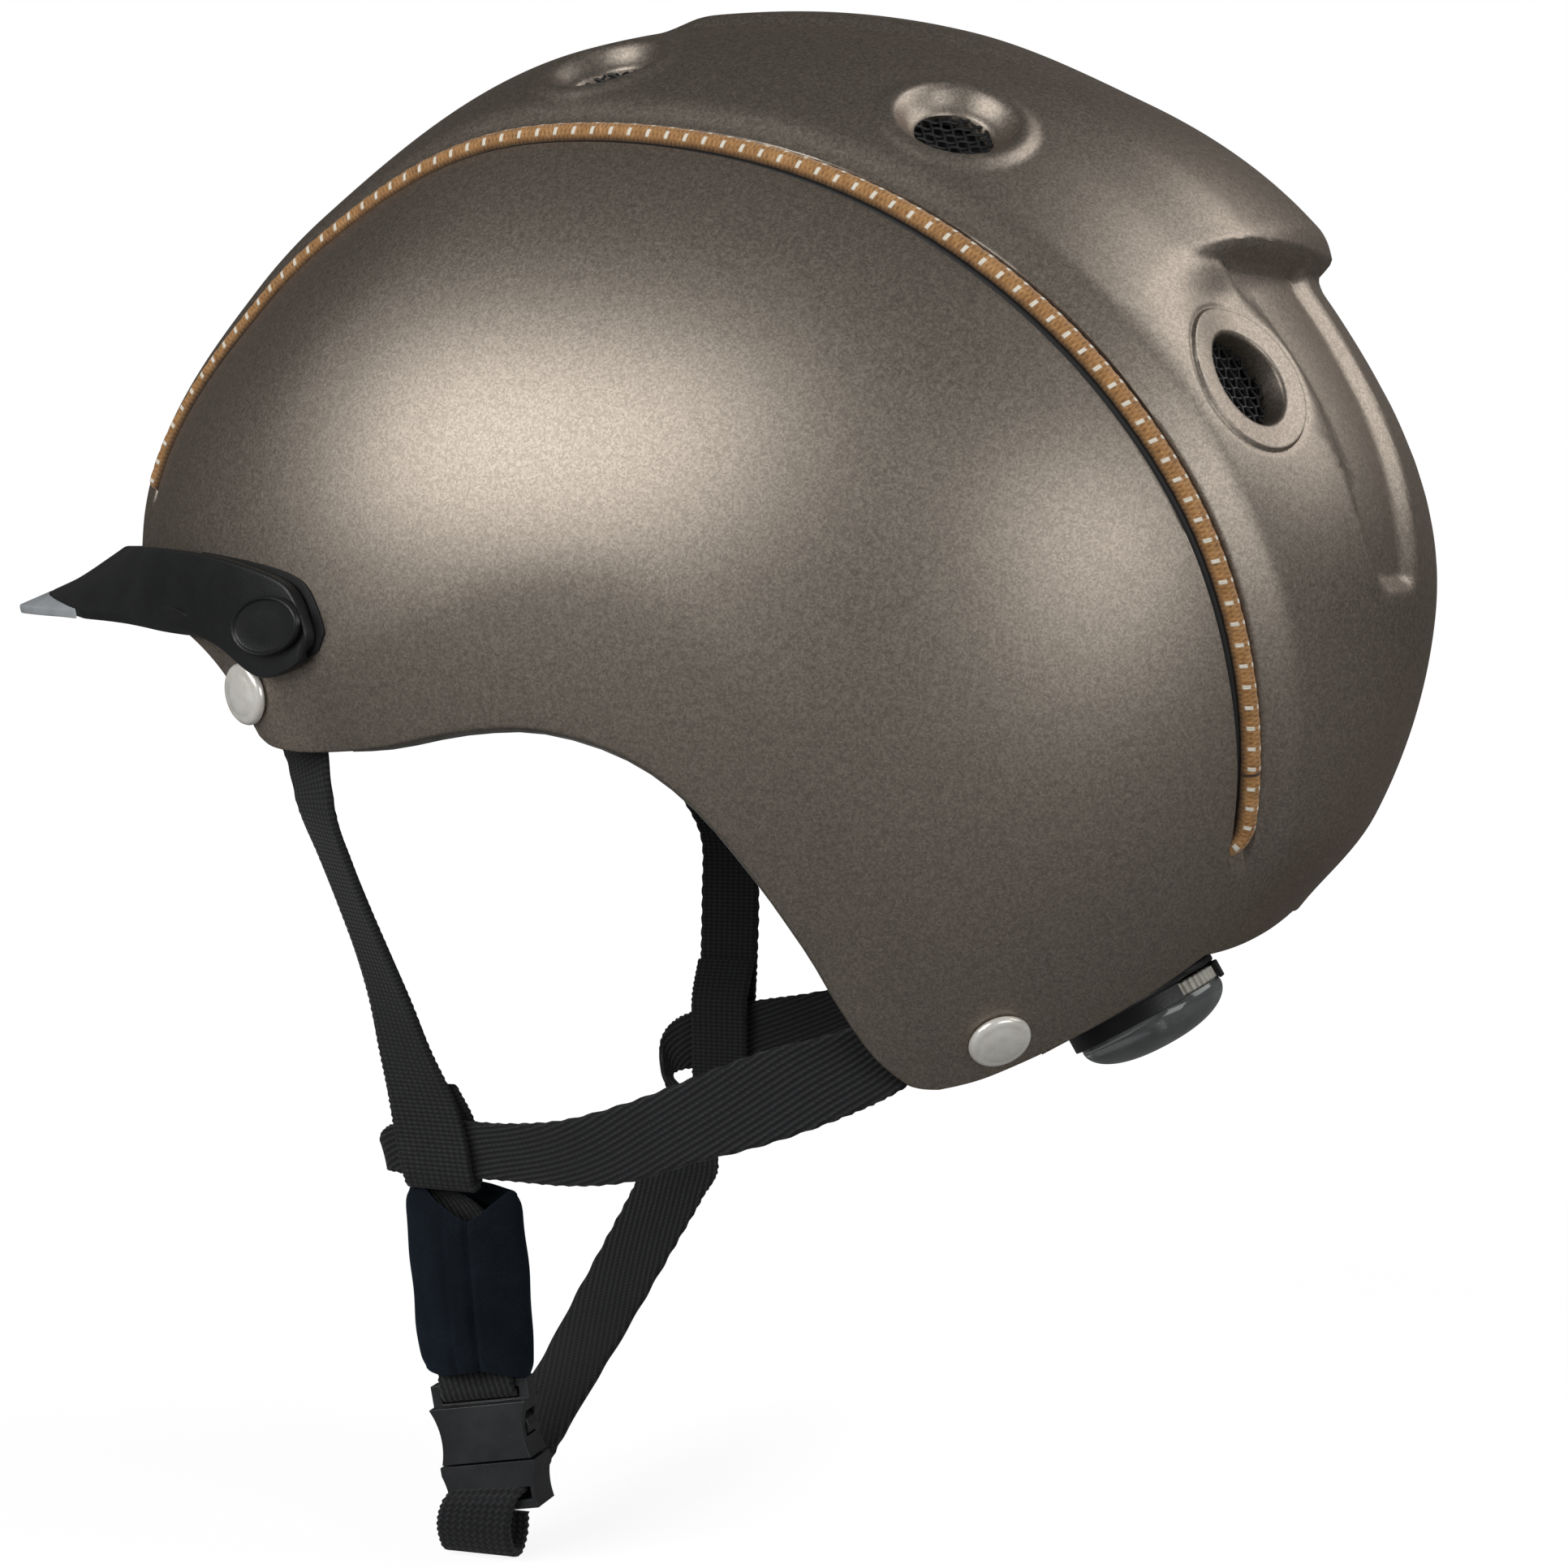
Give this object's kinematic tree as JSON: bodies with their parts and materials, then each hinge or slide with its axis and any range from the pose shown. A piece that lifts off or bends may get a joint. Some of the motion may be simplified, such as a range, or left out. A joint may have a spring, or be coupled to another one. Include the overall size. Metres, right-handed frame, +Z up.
{
  "type": "riding helmet",
  "caption": "Riding helmet with piped shell, dished vents, clip-on visor, foam liner, rack-and-dial fit ring and side-release chin harness.",
  "frame": {"origin": "middle of the head opening, level with the ears", "axes": "-Y to the front, +X to the wearer's left, +Z up"},
  "size_m": [0.214, 0.3042, 0.3089],
  "materials": {
    "shell_paint": "satin metallic taupe paint on moulded plastic",
    "foam": "moulded foam, dark grey",
    "edge_trim": "soft light grey edge trim",
    "piping": "tan braided cord",
    "visor_black": "fine matte black soft plastic",
    "visor_smoke": "grey translucent plastic",
    "dark_plastic": "moulded black nylon",
    "nickel": "polished nickel plate",
    "webbing": "black woven webbing",
    "sleeve_fabric": "navy black knitted fabric over padding",
    "buckle_black": "moulded black acetal",
    "pad_fabric": "charcoal brushed fabric over foam",
    "dial_ring": "off-white moulded plastic",
    "dial_smoke": "smoky translucent plastic",
    "steel": "plated steel screw"
  },
  "bodies": {
    "root": {"outer_shell": "shell_paint", "foam_liner": "foam", "rim_trim": "edge_trim", "piping_left": "piping", "piping_right": "piping", "visor": "visor_black", "visor_tip": "visor_smoke", "visor_caps": "dark_plastic", "visor_studs": "dark_plastic", "rivet_caps": "nickel", "rivet_posts": "nickel", "rivet_washers": "nickel", "front_strap_left": "webbing", "front_strap_right": "webbing", "rear_strap_left": "webbing", "rear_strap_right": "webbing", "adjuster_tail": "webbing", "chin_sleeve": "sleeve_fabric", "buckle_socket": "buckle_black", "buckle_plug": "buckle_black", "brow_pad": "pad_fabric", "crown_pad": "pad_fabric", "side_pad_left": "pad_fabric", "side_pad_right": "pad_fabric", "ring_band_left": "dark_plastic", "ring_band_right": "dark_plastic", "band_snaps": "dark_plastic", "yoke": "dark_plastic", "cradle": "dark_plastic", "cradle_cover": "dark_plastic", "dial_screw": "steel"},
    "dial": {"pinion": "dark_plastic", "dial_grip": "dial_ring", "dial_cap": "dial_smoke"},
    "rack_slide_left": {"rack_left": "dark_plastic"},
    "rack_slide_right": {"rack_right": "dark_plastic"},
    "prong_front": {"buckle_prong_front": "buckle_black"},
    "prong_rear": {"buckle_prong_rear": "buckle_black"}
  },
  "joints": [
    {"name": "dial_turn", "type": "hinge", "parent": "root", "child": "dial", "pos_m": [0, 0.0775, -0.037], "axis": [0, 0.5, -0.866], "range_deg": [0, 114]},
    {"name": "left_rack", "type": "slide", "parent": "root", "child": "rack_slide_left", "axis": [-1, 0, 0], "range_m": [0, 0.01]},
    {"name": "right_rack", "type": "slide", "parent": "root", "child": "rack_slide_right", "axis": [1, 0, 0], "range_m": [0, 0.01]},
    {"name": "front_prong", "type": "hinge", "parent": "root", "child": "prong_front", "pos_m": [0.058, -0.04707, -0.12948], "axis": [-1, 0, 0], "range_deg": [0, 8], "stiffness_Nm_per_rad": 0.05},
    {"name": "rear_prong", "type": "hinge", "parent": "root", "child": "prong_rear", "pos_m": [0.058, -0.03426, -0.12722], "axis": [1, 0, 0], "range_deg": [0, 8], "stiffness_Nm_per_rad": 0.05}
  ],
  "couplings": [
    {"joint": "left_rack", "follows": "dial_turn", "m_per_rad": 0.0049975},
    {"joint": "right_rack", "follows": "dial_turn", "m_per_rad": 0.0049975}
  ]
}
